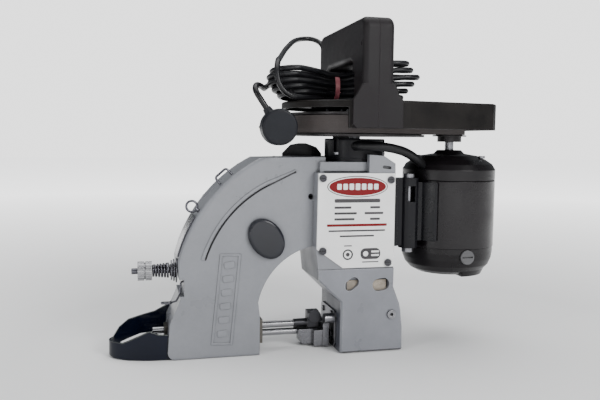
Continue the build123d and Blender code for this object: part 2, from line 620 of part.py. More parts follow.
def belt_guard():
    top = slab_z(guard_outline(0), GUARD_Z[1] - 3, GUARD_Z[1])
    skirt = slab_z(guard_outline(0) - guard_outline(2.5), GUARD_Z[0], GUARD_Z[1] - 3)
    skirt -= block((-90, -31), (-80, 80), (0, GUARD_Z[1] - 6))
    guard = top + skirt
    guard = fillet(guard.edges().group_by(Axis.Z)[-1], 1.5)
    for x, z in GUARD_REAR_SCREWS:
        guard -= rod_y(x, z, 1.5 + RUN, 60, 75)
    for x, y in HANDLE_SCREWS:
        guard -= rod_z(x, y, 1.5 + RUN, 200, 220)
    return guard


# ---------------------------------------------------------------- handle
def handle_outer():
    (y0, y1), top = HANDLE_Y, HANDLE_TOP
    side = polygon((y0, GUARD_Z[1]), (y0, top), (y1, top), (y1, GUARD_Z[1]), (38, GUARD_Z[1]), (38, GRIP_UNDER),
                   (-43, GRIP_UNDER), (-43, GUARD_Z[1]))
    body = slab_x(side, *HANDLE_X)
    corners = body.edges().filter_by(Axis.X)
    body = fillet([e for e in corners if e.center().Z > top - 1], 9)
    body = fillet([e for e in body.edges().filter_by(Axis.X) if abs(e.center().Z - GRIP_UNDER) < 1], 10)
    long_edges = [e for e in body.edges() if e.center().Z > 232 and abs(e.center().X - HANDLE_X[0]) < 0.01]
    long_edges += [e for e in body.edges() if e.center().Z > 232 and abs(e.center().X - HANDLE_X[1]) < 0.01]
    body = fillet(long_edges, 4.5)
    apron = polygon((-30.5, GUARD_Z[0] + 3), (-27.5, GUARD_Z[0]), (12, GUARD_Z[0]), (12, 217), (8, 222), (5, 230),
                    (-22.5, 230), (-27, 222), (-30.5, 217))
    return body + slab_y(apron, y0, -GUARD_R)


def handle_hollow():
    grip = block((-19.3, 0.8), (-58, 50), (GRIP_UNDER + 3.2, HANDLE_TOP - 4))
    front = block((-19.3, 0.8), (-60, -48), (224, HANDLE_TOP - 12))
    rear = block((-19.3, 0.8), (46, 57), (224, HANDLE_TOP - 12))
    return grip + front + rear


def handle_half(x0, x1):
    shell = handle_outer() - handle_hollow()
    shell -= block((-14.6, -3.9), (-32.5, -14.5), (240, GRIP_UNDER + 8))
    shell -= rod_y(HANDLE_SPLIT, CORD_EXIT_Z, 6 + RUN, 55, 70)
    for x, y in HANDLE_SCREWS:
        shell -= rod_z(x, y, 1.5 + RUN, 210, 225.5)
    for y, z in HANDLE_JOINT_SCREWS:
        shell -= rod_x(y, z, 1.6, -30, 10) + rod_x(y, z, 3.2, 0.5, 10)
    return shell & block((x0, x1), (-90, 90), (150, 300))


def switch_body():
    box = block((-17.5, -1.0), (-36, -10), (259.8, 275))
    terminals = None
    for y in (-33, -23, -13):
        terminals = block((-11, -7.5), (y - 0.8, y + 0.8), (275, 279)) + (terminals or Part())
    return box + terminals


def switch_trigger():
    finger = slab_x(polygon((-32, 244.2), (-16.5, 242.6), (-15, 245), (-15, 252.5), (-32, 252.5)), -14.1, -4.4)
    finger = fillet(finger.edges().filter_by(Axis.X).sort_by(Axis.Z)[:2], 1.2)
    return finger + block((-11.5, -7), (-26, -20), (252.5, 255.8))


def strain_relief():
    x, z = HANDLE_SPLIT, CORD_EXIT_Z
    collar = rod_y(x, z, 6, 56, 63) + rod_y(x, z, 7.4, 62.0, 64.5)
    sleeve = Pos(x, 72.25, z) * Rot(-90, 0, 0) * Cone(5.2, 3.4, 15.5)
    return collar + sleeve - rod_y(x, z, CORD_R, 50, 78)


# ---------------------------------------------------------------- motor
def motor_housing():
    shell = rod_z(MOTOR_X, 0, MOTOR_R, 89, 149) - rod_z(MOTOR_X, 0, MOTOR_R - 3, 80, 160)
    return shell


def motor_top_cap():
    r = MOTOR_R
    dome = revolve_z(MOTOR_X, 0, (r - 0.9, 149), (r, 150), (r, 159), (r - 3, 164), (r - 9, 168), (26, 171.4),
                     (14, 173.4), (11, 176.5), (4.3, 176.5), (4.3, 168.5), (11.1, 168.5), (11.1, 160),
                     (r - 5, 160), (r - 3, 155), (r - 3, 149))
    for x, y in CAP_SCREWS:
        dome -= rod_z(x, y, 1.6, 150, 180) + rod_z(x, y, 3.4, 169.4, 180)
    return dome


def motor_bottom_cap():
    """Cup under the motor: round on the left, flat underneath with a slanting flat on the right."""
    r = MOTOR_R - 0.6
    cup = revolve_z(MOTOR_X, 0, (0, 62.6), (21, 62.6), (28, 63.9), (34, 67), (38.6, 72), (41, 78), (r, 84), (r, 89),
                    (0, 89))
    skirt = revolve_z(MOTOR_X, 0, (0, 62.6), (32.5, 62.6), (41.6, 84), (41.6, 88), (0, 88))
    cup += skirt & block((MOTOR_X, MOTOR_X + 50), (-50, 50), (60, 90))
    cup -= slab_y(polygon((MOTOR_X + 29, 62), (MOTOR_X + 43.5, 88.2), (MOTOR_X + 60, 88.2), (MOTOR_X + 60, 62)),
                  -60, 60)
    cup -= revolve_z(MOTOR_X, 0, (0, 70), (11, 70), (29, 74), (MOTOR_R - 5, 82), (MOTOR_R - 3, 90), (0, 90))
    for way in (-1, 1):
        cup -= rod_y(MOTOR_X, 82, 6.5, *sorted((way * 30, way * 50)))
    return cup - rod_z(MOTOR_X, 0, 8.05, 66, 75)


def motor_brushes():
    """Carbon brushes with the slotted caps that hold them."""
    group = []
    for way in (-1, 1):
        cap = rod_y(MOTOR_X, 82, 6.4, *sorted((way * 36, way * (MOTOR_R + 1.0))))
        cap -= block((MOTOR_X - 5, MOTOR_X + 5), sorted((way * (MOTOR_R - 0.6), way * (MOTOR_R + 2))), (81.3, 82.7))
        group += [cap, block((MOTOR_X - 3, MOTOR_X + 3), sorted((way * 13.4, way * 35.9)), (78.5, 85.5))]
    return Compound(group)


def motor_stator():
    ring = rod_z(MOTOR_X, 0, MOTOR_R - 3 - RUN, 99, 139) - rod_z(MOTOR_X, 0, 26, 90, 150)
    for way in (-1, 1):
        ring += block((MOTOR_X - 12, MOTOR_X + 12), sorted((way * 20, way * 30)), (99, 139))
    return ring - rod_z(MOTOR_X, 0, 22.6, 90, 150)


def armature():
    core = rod_z(MOTOR_X, 0, 22, 101, 137)
    for step in range(12):
        x, y = polar((MOTOR_X, 0), 20, step * 30)
        core -= rod_z(x, y, 1.6, 100, 138)
    core += rod_z(MOTOR_X, 0, 15, 92, 146)
    return core - rod_z(MOTOR_X, 0, 4, 80, 170)


def commutator():
    drum = rod_z(MOTOR_X, 0, 13, 76.5, 87.5) - rod_z(MOTOR_X, 0, 4, 70, 90)
    for step in range(16):
        x, y = polar((MOTOR_X, 0), 13.2, step * 22.5)
        drum -= rod_z(x, y, 0.5, 70, 90)
    return drum


def motor_shaft():
    return rod_z(MOTOR_X, 0, 4 - RUN, 66.2, 211)


def motor_fan():
    fan = rod_z(MOTOR_X, 0, 32, 147.5, 149.2) + rod_z(MOTOR_X, 0, 8, 147.5, 156)
    for step in range(8):
        fan += Pos(MOTOR_X, 0, 0) * Rot(0, 0, step * 45) * block((7, 31), (-0.8, 0.8), (149, 155))
    return fan - rod_z(MOTOR_X, 0, 4, 140, 160)


def motor_bearings():
    return bearing(MOTOR_X, 0, 161, 168.4, 4, 11.0) + bearing(MOTOR_X, 0, 67, 74, 4, 8.0)


def motor_pulley():
    wheel = revolve_z(MOTOR_X, 0, (4, 184), (11, 184), (11, 189), (15.5, 189), (15.5, 190.2), (MOTOR_PULLEY_R, 190.4),
                      (MOTOR_PULLEY_R, 205.6), (15.5, 205.8), (15.5, 207.4), (4, 207.4))
    for step in range(12):
        x, y = polar((MOTOR_X, 0), MOTOR_PULLEY_R + 0.25, step * 30)
        wheel -= rod_z(x, y, 0.9, 190.6, 205.4)
    return wheel


def motor_bracket():
    """Cast arm bolted to the right side of the column that grips the motor."""
    plate = block((COLUMN_X[1], COLUMN_X[1] + 5), (-30, 20), (92, 152))
    arm = block((COLUMN_X[1] + 4, 56), (-16, 16), (96, 148))
    saddle = rod_z(MOTOR_X, 0, MOTOR_R + 4, 96, 148) & block((40, 60), (-36, 36), (90, 150))
    boss = rod_z(*CLAMP_AT, 8.5, 90, 152) + block((COLUMN_X[1] + 4, 36), (-28, -16), (92, 152))
    bridge = block((32, 56), (-27, -16), (96, 148))
    cast = plate + arm + saddle + boss + bridge
    cast -= rod_z(MOTOR_X, 0, MOTOR_R + RUN, 80, 160)
    cast -= rod_z(*CLAMP_AT, 3 + RUN, 80, 160)
    cast -= block((34, 41), (-40, -24), (131, 145))
    for y, z in BRACKET_SCREWS:
        cast -= rod_x(y, z, 2.5 + RUN, 15, COLUMN_X[1] + 4.5)
    return cast


# ---------------------------------------------------------------- fasteners
def machine_screws():
    """Small slotted screws of the rear cover, thread stand, throat plate, neck and motor cap."""
    group = [screw_y(x, z, ARCH_HALF + 3, outward=1, length=12.5) for x, z in COVER_SCREWS]
    group += [screw_y(x, z, ARCH_HALF + 7, outward=1, length=16.5) for x, z in STAND_SCREWS]
    for y, z in THROAT_SCREWS:
        screw = rod_x(y, z, 1.5, -28.9, -22.5) + rod_x(y, z, 2.6, -30.1, -28.9)
        group.append(screw - block((-30.2, -29.6), (y - 3, y + 3), (z - 0.4, z + 0.4)))
    group += [screw_z(x, y, DECK_TOP + 6, length=12.5) for x, y in NECK_SCREWS]
    group += [screw_z(x, y, 169.4, length=11) for x, y in CAP_SCREWS]
    return Compound(group)


def name_plate_screws():
    return Compound([screw_y(x, z, COVER_FRONT, head_r=3.2, head=1.6, length=8) for x, z in PLATE_SCREWS])


def handle_screws():
    """Screws that join the two shells, fix the feet to the guard and the guard to its bracket."""
    group = []
    for y, z in HANDLE_JOINT_SCREWS:
        screw = rod_x(y, z, 1.55, -18, 0.5) + rod_x(y, z, 3.1, 0.5, 2.6)
        group.append(screw - block((1.8, 3), (y - 3.5, y + 3.5), (z - 0.4, z + 0.4)))
    group += [screw_z(x, y, GUARD_Z[1] - 3, length=10.5, head=2.0, outward=-1) for x, y in HANDLE_SCREWS]
    group += [screw_y(x, z, GUARD_R + 3, outward=1, length=5.3) for x, z in GUARD_REAR_SCREWS]
    return Compound(group)


def socket_screws():
    """Hexagon socket screws of the looper cover, the motor bracket and its clamp."""
    cover = rod_y(*COVER_SCREW, 3.8, -38.6, -35) + rod_y(*COVER_SCREW, 2, -35, -24)
    group = [cover - slab_y(Pos(*COVER_SCREW) * RegularPolygon(1.7, 6), -39, -36.6)]
    inner = COLUMN_X[1] - 4
    for y, z in BRACKET_SCREWS:
        bolt = rod_x(y, z, 2.5, inner, COLUMN_X[1] + 4) + rod_x(y, z, 4.4, inner - 4, inner)
        group.append(bolt - slab_x(Pos(y, z) * RegularPolygon(2.2, 6), inner - 5, inner - 2))
    x, y = CLAMP_AT
    clamp = rod_z(x, y, 3, 86, 152) + rod_z(x, y, 5.2, 152, 155.5) + rod_z(x, y, 5.2, 86, 90)
    group.append(clamp - slab_z(Pos(x, y) * RegularPolygon(2.6, 6), 153, 156))
    return Compound(group)


# ---------------------------------------------------------------- leads and cord
def cord_tube(points, r, factor=0.45):
    """Straight runs joined by tangent arcs, each as large as its two runs allow."""
    corners = [Vector(*p) for p in points]
    radii = []
    for before, here, after in zip(corners, corners[1:], corners[2:]):
        run_in, run_out = here - before, after - here
        turn = run_in.get_angle(run_out)
        radii.append(factor * min(run_in.length, run_out.length) / math.tan(math.radians(turn / 2)))
    path = FilletPolyline(*points, radius=radii)
    tube = sweep(Plane(path @ 0, z_dir=path % 0) * Circle(r), path=path)
    print("cord radii", [round(x, 1) for x in radii], "length", round(path.length, 1),
          "volume ratio", round(tube.volume / (math.pi * r * r * path.length), 4))
    return tube


MOTOR_LEAD_ROUTE = [(-13.5, -25.6, 179.5), (-12, -34, 180), (0, -39, 180), (14, -38.5, 178.5), (28, -35, 175.5),
                    (40, -29.5, 170), (51.5, -21.5, 163)]
CORD_ROUTE = [(HANDLE_SPLIT, 80, CORD_EXIT_Z), (HANDLE_SPLIT, 91, CORD_EXIT_Z), (-7.8, 102, 279.5),
              (-8.2, 111.5, 285.6), (-14.8, 119, 290.2), (-25, 119, 290), (-34.5, 111, 287), (-41.5, 98, 283),
              (-49.5, 80, 276.5), (-57.5, 60, 270), (-65.2, 39, 262.6), (-70.8, 21, 257.6), (-75.2, 4, 254.6),
              (-79.6, -12.5, 252.6), (-83.2, -24.5, 245), (-83.6, -27, 236.8), (-81.5, -27.5, 229.6),
              (-76.8, -27.5, 223.8), (-69.5, -26.5, 221.2), (-61, -23.5, 220.6), (-52, -18, 220.7),
              (-44, -10.5, 221)]
PLUG_ENTRY = tuple(c + (PLUG_R + 3.62) * w for c, w in zip(PLUG_AT, PLUG_WAY))
PLUG_RUN = tuple(c + 8 * w for c, w in zip(PLUG_ENTRY, PLUG_WAY))
TAIL_ROUTE = [(-77.5, 16, 238), (-85, 11.5, 233), (-89, 3, 230), (-92.5, -8, 229.4), (-97.5, -19, 230),
              (-102.3, -29, 229), (-104, -37, 224), PLUG_RUN, PLUG_ENTRY]
# X, then centre and half sizes in Y and Z, of the hank's outline
HANK_SECTIONS = [(-87, 0, 236, 6, 9), (-82, 0, 234.5, 13.5, 13.5), (-66, 0, 233.6, 17.6, 15.2),
                 (-47, 0, 232.4, 13.5, 13.8), (-34, 0, 231.2, 9.4, 12.2), (-18, 0, 231.4, 9.6, 12.2),
                 (-6, 0, 233.4, 12.5, 14.2), (10, 0, 237, 17, 16.6), (30, 0, 240, 17.4, 17.4),
                 (42, 0, 242, 15, 13.5), (54.5, 0, 242.5, 7, 5)]


def motor_lead():
    return cord_tube(MOTOR_LEAD_ROUTE, 4.0) - rod_z(MOTOR_X, 0, MOTOR_R, 100, 200) - rod_z(SHAFT_X, 0, 27, 160, 190)


def mains_cord():
    """Cord from the handle to the hank, and the tail from the hank to the plug."""
    return Compound([cord_tube(CORD_ROUTE, CORD_R), cord_tube(TAIL_ROUTE, CORD_R)])


def cord_hank():
    """Outer shape of the folded hank, waisted at its tie."""
    return loft([Plane.YZ.offset(x) * Pos(y, z) * Ellipse(ry, rz) for x, y, z, ry, rz in HANK_SECTIONS], ruled=True)


def cord_tie():
    y, z = 0, 231.2
    band = Pos(y, z) * (Ellipse(11.2, 13.0) - Ellipse(9.75, 12.2))
    return slab_x(band, *TIE_X)


def mains_plug():
    x, y, z = PLUG_AT
    puck = rod_y(x, z, PLUG_R, y - PLUG_HALF, y + PLUG_HALF)
    puck = fillet(puck.edges().filter_by(GeomType.CIRCLE), 2.2)
    sleeve = Plane(origin=PLUG_AT, z_dir=PLUG_WAY) * Pos(0, 0, PLUG_R + 0.9) * Cone(4.4, 3.3, 5.4)
    return puck + sleeve


def plug_pins():
    x, y, z = PLUG_AT
    pins = [rod_y(x + side * 9.5, z, 2.4, y + PLUG_HALF, y + PLUG_HALF + 19) for side in (-1, 1)]
    return Compound([chamfer(pin.edges().filter_by(GeomType.CIRCLE).sort_by(Axis.Y)[-1:], 0.8) for pin in pins])


# ---------------------------------------------------------------- grouped nodes
def thread_fittings():
    return Compound([thread_guides(), thread_eyelet_wire(), thread_channel()])


def tension_post():
    return Compound([tension_stud(), tension_discs()])


def fixed_pins():
    return Compound([looper_pin(), feed_guide_rod(), lever_pin()])


def ball_bearings():
    shaft = [bearing(SHAFT_X, 0, 66, 75, SHAFT_R, 11), bearing(SHAFT_X, 0, 159, DECK_TOP, SHAFT_R, 13)]
    return Compound(shaft + [motor_bearings()])


BUILDERS = {
    "main_frame": main_frame,
    "rear_cover": rear_cover,
    "looper_cover": looper_cover,
    "oil_wick_pads": oil_wick_pads,
    "throat_plate": throat_plate,
    "bar_guides": bar_guides,
    "fixed_pins": fixed_pins,
    "feed_dog": feed_dog,
    "looper": looper,
    "main_shaft": lambda: Compound([main_shaft(), shaft_nut()]),
    "ball_bearings": ball_bearings,
    "shaft_cams": lambda: Compound([looper_cam(), needle_eccentric()]),
    "eccentric_strap": eccentric_strap,
    "connecting_rod": connecting_rod,
    "needle_lever": needle_lever,
    "needle_bar": needle_bar,
    "needle_bar_driver": needle_bar_driver,
    "needle_clamp": lambda: Compound([needle_clamp(), clamp_screw()]),
    "needle": needle,
    "presser_bar": lambda: Compound([presser_bar(), presser_collar()]),
    "presser_foot": presser_foot,
    "presser_spring": presser_spring,
    "presser_lifter": presser_lifter,
    "access_cap": access_cap,
    "name_plate": name_plate,
    "name_plate_screws": name_plate_screws,
    "machine_screws": machine_screws,
    "socket_screws": socket_screws,
    "handle_screws": handle_screws,
    "thread_fittings": thread_fittings,
    "tension_post": tension_post,
    "tension_spring": tension_spring,
    "tension_nut": tension_nut,
    "nose_guard": nose_guard,
    "thread_stand_bracket": thread_stand_bracket,
    "handle_bracket": handle_bracket,
    "neck_housing": neck_housing,
    "drive_pulley": drive_pulley,
    "drive_belt": drive_belt,
    "belt_guard": belt_guard,
    "handle_left_shell": lambda: handle_half(-40, HANDLE_SPLIT),
    "handle_right_shell": lambda: handle_half(HANDLE_SPLIT, 20),
    "switch_body": switch_body,
    "switch_trigger": switch_trigger,
    "strain_relief": strain_relief,
    "motor_housing": motor_housing,
    "motor_top_cap": motor_top_cap,
    "motor_bottom_cap": motor_bottom_cap,
    "motor_brushes": motor_brushes,
    "motor_stator": motor_stator,
    "armature": lambda: Compound([armature(), commutator(), motor_fan()]),
    "motor_shaft": motor_shaft,
    "motor_pulley": motor_pulley,
    "motor_bracket": motor_bracket,
    "motor_lead": motor_lead,
    "mains_cord": mains_cord,
    "cord_hank": cord_hank,
    "cord_tie": cord_tie,
    "mains_plug": mains_plug,
    "plug_pins": plug_pins,
}

os.makedirs("parts", exist_ok=True)
for name, build in BUILDERS.items():
    export_step(build(), f"parts/{name}.step")
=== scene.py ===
"""Bag closer sewing machine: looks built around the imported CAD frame."""

import math

import bmesh
import bpy
from mathutils import Matrix, Vector


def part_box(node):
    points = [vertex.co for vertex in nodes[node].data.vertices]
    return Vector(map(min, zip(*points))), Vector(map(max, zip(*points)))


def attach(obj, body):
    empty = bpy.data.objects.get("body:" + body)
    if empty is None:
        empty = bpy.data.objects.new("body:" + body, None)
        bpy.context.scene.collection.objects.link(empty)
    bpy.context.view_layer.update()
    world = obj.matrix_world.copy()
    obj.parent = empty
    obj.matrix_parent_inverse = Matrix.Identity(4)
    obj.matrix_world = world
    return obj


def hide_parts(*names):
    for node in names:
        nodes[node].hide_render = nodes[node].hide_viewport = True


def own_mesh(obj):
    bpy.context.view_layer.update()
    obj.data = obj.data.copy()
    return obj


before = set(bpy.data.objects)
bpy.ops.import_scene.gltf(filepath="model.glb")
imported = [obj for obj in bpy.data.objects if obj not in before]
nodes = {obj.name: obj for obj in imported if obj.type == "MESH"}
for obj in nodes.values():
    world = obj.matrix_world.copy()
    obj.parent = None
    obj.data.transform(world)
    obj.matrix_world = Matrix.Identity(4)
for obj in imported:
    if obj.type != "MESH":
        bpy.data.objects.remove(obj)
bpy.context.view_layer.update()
MM = 0.001


# ---------------------------------------------------------------- camera
CAMERA_AT = (-0.2065, -0.6035, 0.185)
YAW, PITCH, ROLL = math.radians(14.0), math.radians(4.96), 0.011


def make_camera():
    data = bpy.data.cameras.new("camera")
    data.lens, data.sensor_width = 42.0, 36.0
    data.clip_start, data.clip_end = 0.01, 30.0
    camera = bpy.data.objects.new("camera", data)
    turn = Matrix.Rotation(-YAW, 4, "Z") @ Matrix.Rotation(math.pi / 2 - PITCH, 4, "X")
    camera.matrix_world = Matrix.Translation(CAMERA_AT) @ turn @ Matrix.Rotation(ROLL, 4, "Z")
    bpy.context.scene.collection.objects.link(camera)
    bpy.context.scene.camera = camera


make_camera()

# ---------------------------------------------------------------- mains cord
CORD_D = 0.005           # metres
PLUG_AT = Vector((-84.7, -40.0, 194.7))
PLUG_WAY = Vector((-0.559, 0.0, 0.829))
PLUG_REACH = 18.62       # from the plug's middle to where the cord enters it
PLUG_ENTRY = PLUG_AT + PLUG_REACH * PLUG_WAY
PLUG_RUN = PLUG_ENTRY + 8 * PLUG_WAY
# Points in millimetres: from the strain relief, round behind the handle, to the hank
CORD_ROUTE = [(-9.25, 80, 274.5), (-9.25, 91, 274.5), (-7.8, 102, 279.5), (-8.2, 111.5, 285.6),
              (-14.8, 119, 290.2), (-25, 119, 290), (-34.5, 111, 287), (-41.5, 98, 283),
              (-49.5, 80, 276.5), (-57.5, 60, 270), (-65.2, 39, 262.6), (-70.8, 21, 257.6),
              (-75.2, 4, 254.6), (-79.6, -12.5, 252.6), (-83.2, -24.5, 245), (-83.6, -27, 237.3),
              (-81.5, -27.5, 230.2), (-76.8, -27.5, 224), (-69.5, -26.5, 220.8), (-61, -23.5, 220.2),
              (-52, -18, 220.3), (-42.5, -10.5, 220.6)]
# From the hank to the plug
TAIL_ROUTE = [(-46, 13.2, 244.2), (-56, 19, 244), (-67, 22, 240), (-77.5, 21, 235), (-85, 15, 230.8),
              (-88.5, 4, 228.6), (-92, -8, 229), (-97.2, -19, 230), (-102, -29, 229.2), (-103.8, -37.3, 224),
              tuple(PLUG_RUN), tuple(PLUG_ENTRY)]
TURNS = 6
MID_ROW = (TURNS - 1) / 2
TIE_X, TIE_Z, TIE_PITCH = -25.5, 231.4, 4.0      # the hank's waist under the tie
TIE_SPREAD = (2.65, 6.6)                         # half width at the tie, in even and odd rows
TIE_HALF = 8                                     # half the straight run through the tie
LOBE_W = 15.0                                    # half width of the folds at both ends
FOLD_ANGLES = range(-75, 90, 30)
LEFT_END = (-75, -80, -84, -84.5, -82)           # how far each left fold reaches
LEFT_Z, LEFT_PITCH = 233.4, 5.1
MID_Z, MID_PITCH = 234.2, 5.4                    # where the strands pass through the handle
RIGHT_END = (36.5, 41, 47, 52, 45.5, 41.5)
RIGHT_Z = ((222.3, 225.2), (228.3, 231.4), (234.6, 237.7), (240.8, 243.9), (247, 250), (253, 255.2))


def hank_fold(x, z_in, z_out, way):
    """One end of a turn: way is 1 for the right end and -1 for the left."""
    r = LOBE_W / math.cos(math.radians(15))
    lead = r * math.sin(math.radians(15))
    turn = [(x - way * lead, -way * LOBE_W, z_in)]
    for i, degrees in enumerate(FOLD_ANGLES):
        a = math.radians(degrees)
        z = z_in + (z_out - z_in) * (i + 0.5) / len(FOLD_ANGLES)
        turn.append((x + way * r * math.cos(a), way * r * math.sin(a), z))
    return turn + [(x - way * lead, way * LOBE_W, z_out)]


def hank_strand(side, row, end_z, left_end):
    """Points from the left fold, where there is one, to the right one, on the front (-1) or rear (1) side."""
    spread = TIE_SPREAD[row % 2]
    z_tie = TIE_Z + (row - MID_ROW) * TIE_PITCH
    z_left = LEFT_Z + (row - MID_ROW) * LEFT_PITCH
    z_mid = MID_Z + (row - MID_ROW) * MID_PITCH
    left = []
    if left_end is not None:
        left = [(left_end + LOBE_W + 9, side * (LOBE_W - 1.7), z_left),
                (-42, side * (spread * 0.7 + 5.2), (z_left + z_tie) / 2)]
    return left + [(TIE_X - TIE_HALF, side * spread, z_tie), (TIE_X + TIE_HALF, side * spread, z_tie),
                   (-7, side * (spread * 0.5 + 4.9), z_tie * 0.4 + z_mid * 0.6),
                   (6, side * (LOBE_W - 2.6), z_mid + (end_z - z_mid) * 0.2)]


def hank_points():
    """All the turns of the hank, from its lowest row up."""
    points = []
    for row in range(TURNS):
        z_front, z_back = RIGHT_Z[row]
        points += hank_strand(-1, row, z_front, LEFT_END[row - 1] if row else None)
        points += hank_fold(RIGHT_END[row] - LOBE_W, z_front, z_back, 1)
        points += hank_strand(1, row, z_back, LEFT_END[row] if row < TURNS - 1 else None)[::-1]
        if row < TURNS - 1:
            z = LEFT_Z + (row - MID_ROW) * LEFT_PITCH
            points += hank_fold(LEFT_END[row] + LOBE_W, z, z + LEFT_PITCH, -1)
    return points


def smooth_curve(name, points, radius, round_steps=5, steps=6):
    """One NURBS curve through points in millimetres, as a tube."""
    data = bpy.data.curves.new(name, "CURVE")
    data.dimensions = "3D"
    spline = data.splines.new("NURBS")
    spline.points.add(len(points) - 1)
    for target, p in zip(spline.points, points):
        target.co = (p[0] * MM, p[1] * MM, p[2] * MM, 1.0)
        target.radius = radius * MM
    spline.order_u = 3
    spline.use_endpoint_u = True
    spline.resolution_u = steps
    data.bevel_depth = 1.0
    data.bevel_resolution = round_steps
    data.use_fill_caps = True
    piece = bpy.data.objects.new(name, data)
    bpy.context.scene.collection.objects.link(piece)
    return piece


mains_lead = smooth_curve("mains_lead", CORD_ROUTE + hank_points() + TAIL_ROUTE, CORD_D / 2 / MM)
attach(mains_lead, "machine")
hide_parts("mains_cord", "cord_hank")


# ---------------------------------------------------------------- materials
def texture(nt, kind, coords, **inputs):
    """A texture node on coords, with its inputs set by name."""
    node = nt.nodes.new(kind)
    nt.links.new(coords, node.inputs["Vector"])
    for key, value in inputs.items():
        node.inputs[key].default_value = value
    return node


def ramp(nt, source, low, high, to_low, to_high):
    """Map source from low..high to to_low..to_high."""
    node = nt.nodes.new("ShaderNodeMapRange")
    nt.links.new(source, node.inputs["Value"])
    node.inputs["From Min"].default_value, node.inputs["From Max"].default_value = low, high
    node.inputs["To Min"].default_value, node.inputs["To Max"].default_value = to_low, to_high
    return node.outputs["Result"]


def mix(nt, factor, a, b):
    """Colour a turning to b by factor; each may be a socket or a value."""
    node = nt.nodes.new("ShaderNodeMix")
    node.data_type = "RGBA"
    for socket, value in ((node.inputs[0], factor), (node.inputs[6], a), (node.inputs[7], b)):
        if isinstance(value, bpy.types.NodeSocket):
            nt.links.new(value, socket)
        elif socket == node.inputs[0]:
            socket.default_value = value
        else:
            socket.default_value = (*value, 1.0)
    return node.outputs[2]


def math_node(nt, operation, a, b):
    """One sum on two sockets or values."""
    node = nt.nodes.new("ShaderNodeMath")
    node.operation = operation
    for socket, value in zip(node.inputs, (a, b)):
        if isinstance(value, bpy.types.NodeSocket):
            nt.links.new(value, socket)
        else:
            socket.default_value = value
    return node.outputs[0]


def throat_painted_shade(nt, place):
    """Painted shade on faces around the throat: those that face left, low on the column."""
    facing = nt.nodes.new("ShaderNodeSeparateXYZ")
    nt.links.new(nt.nodes.new("ShaderNodeTexCoord").outputs["Normal"], facing.inputs[0])
    where = nt.nodes.new("ShaderNodeSeparateXYZ")
    nt.links.new(place, where.inputs[0])
    left = ramp(nt, facing.outputs["X"], -0.35, -0.8, 0.0, 1.0)
    low = ramp(nt, where.outputs["Z"], 0.098, 0.086, 0.0, 0.9)
    column = ramp(nt, where.outputs["X"], -0.06, -0.052, 0.0, 1.0)
    return math_node(nt, "MULTIPLY", math_node(nt, "MULTIPLY", left, low), column)


# Painted shade: the dark blue-black given to the throat faces
THROAT_SHADE_COLOUR = (0.016, 0.019, 0.034)
# Painted shade and grime: the colour that hollows darken towards
SHADE_AND_GRIME_COLOUR = (0.012, 0.011, 0.012)
SHADE_AND_GRIME_REACH = 0.004      # how far from an inner corner the painted shade and grime reach, in metres


def shade(base, factor):
    """base made darker or lighter."""
    return tuple(min(1.0, c * factor) for c in base)


